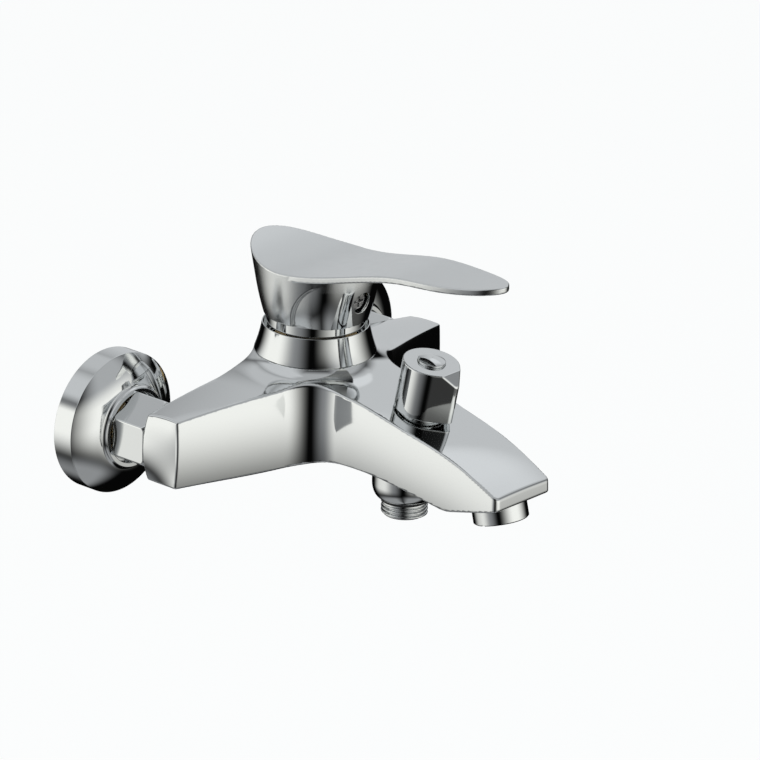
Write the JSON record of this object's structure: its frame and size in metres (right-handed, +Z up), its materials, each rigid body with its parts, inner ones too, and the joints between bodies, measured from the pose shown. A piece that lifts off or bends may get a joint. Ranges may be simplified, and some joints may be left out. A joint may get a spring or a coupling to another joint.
{
  "type": "bath mixer",
  "caption": "Wall-mounted single-lever bath mixer with angular spout, rotary diverter knob, aerator and threaded hand-shower outlet.",
  "frame": {"origin": "on the wall plane, midway between the hot and cold supplies, at the height of the mixer's union nuts", "axes": "+X to the right facing the mixer (hot at -X, cold at +X), +Y into the wall, +Z up; the spout and the resting lever point along -Y"},
  "size_m": [0.2144, 0.1969, 0.1206],
  "materials": {
    "chrome_plate": "polished chrome plate on cast brass",
    "bare_brass": "machined brass",
    "stainless_steel": "machined stainless steel",
    "seal_rubber": "black nitrile rubber",
    "ceramic": "lapped alumina ceramic",
    "valve_plastic": "moulded engineering plastic"
  },
  "bodies": {
    "body": {"mixer_body": "chrome_plate", "hot_escutcheon": "chrome_plate", "cold_escutcheon": "chrome_plate", "hot_union_nut": "chrome_plate", "cold_union_nut": "chrome_plate", "cartridge_shroud": "chrome_plate", "aerator_ring": "chrome_plate", "shower_outlet_nipple": "chrome_plate", "diverter_bonnet": "chrome_plate", "hot_eccentric_union": "bare_brass", "cold_eccentric_union": "bare_brass", "hot_inlet_nipple": "bare_brass", "cold_inlet_nipple": "bare_brass", "cartridge_retaining_nut": "bare_brass", "aerator_screen": "stainless_steel", "hot_inlet_washer": "seal_rubber", "cold_inlet_washer": "seal_rubber", "cartridge_base_seals": "seal_rubber", "shroud_o_ring": "seal_rubber", "shower_outlet_seal": "seal_rubber", "aerator_washer": "seal_rubber", "diverter_seat_seal": "seal_rubber", "fixed_ceramic_disc": "ceramic", "diverter_fixed_disc": "ceramic", "cartridge_base": "valve_plastic", "cartridge_housing": "valve_plastic", "aerator_insert": "valve_plastic"},
    "swivel": {"rotating_collar": "valve_plastic", "spindle_pivot_pin": "stainless_steel"},
    "lever": {"lever_handle": "chrome_plate", "lever_spindle": "bare_brass", "handle_set_screw": "stainless_steel"},
    "disc": {"disc_carrier": "valve_plastic", "moving_ceramic_disc": "ceramic"},
    "diverter": {"diverter_knob": "chrome_plate", "knob_cap": "chrome_plate", "knob_screw": "stainless_steel", "diverter_spindle": "bare_brass", "diverter_turning_disc": "ceramic"}
  },
  "joints": [
    {"name": "lever_swivel", "type": "hinge", "parent": "body", "child": "swivel", "pos_m": [0, -0.058, 0.047], "axis": [0, 0, 1], "range_deg": [-50, 50]},
    {"name": "lever_tilt", "type": "hinge", "parent": "swivel", "child": "lever", "pos_m": [0, -0.058, 0.047], "axis": [-1, 0, 0], "range_deg": [0, 17]},
    {"name": "disc_slide", "type": "slide", "parent": "swivel", "child": "disc", "axis": [0, -1, 0], "range_m": [0, 0.00533]},
    {"name": "diverter_turn", "type": "hinge", "parent": "body", "child": "diverter", "pos_m": [0, -0.1213, 0.0154], "axis": [0, -0.1908, 0.9816], "range_deg": [0, 90]}
  ],
  "couplings": [
    {"joint": "disc_slide", "follows": "lever_tilt", "m_per_rad": 0.017934}
  ]
}
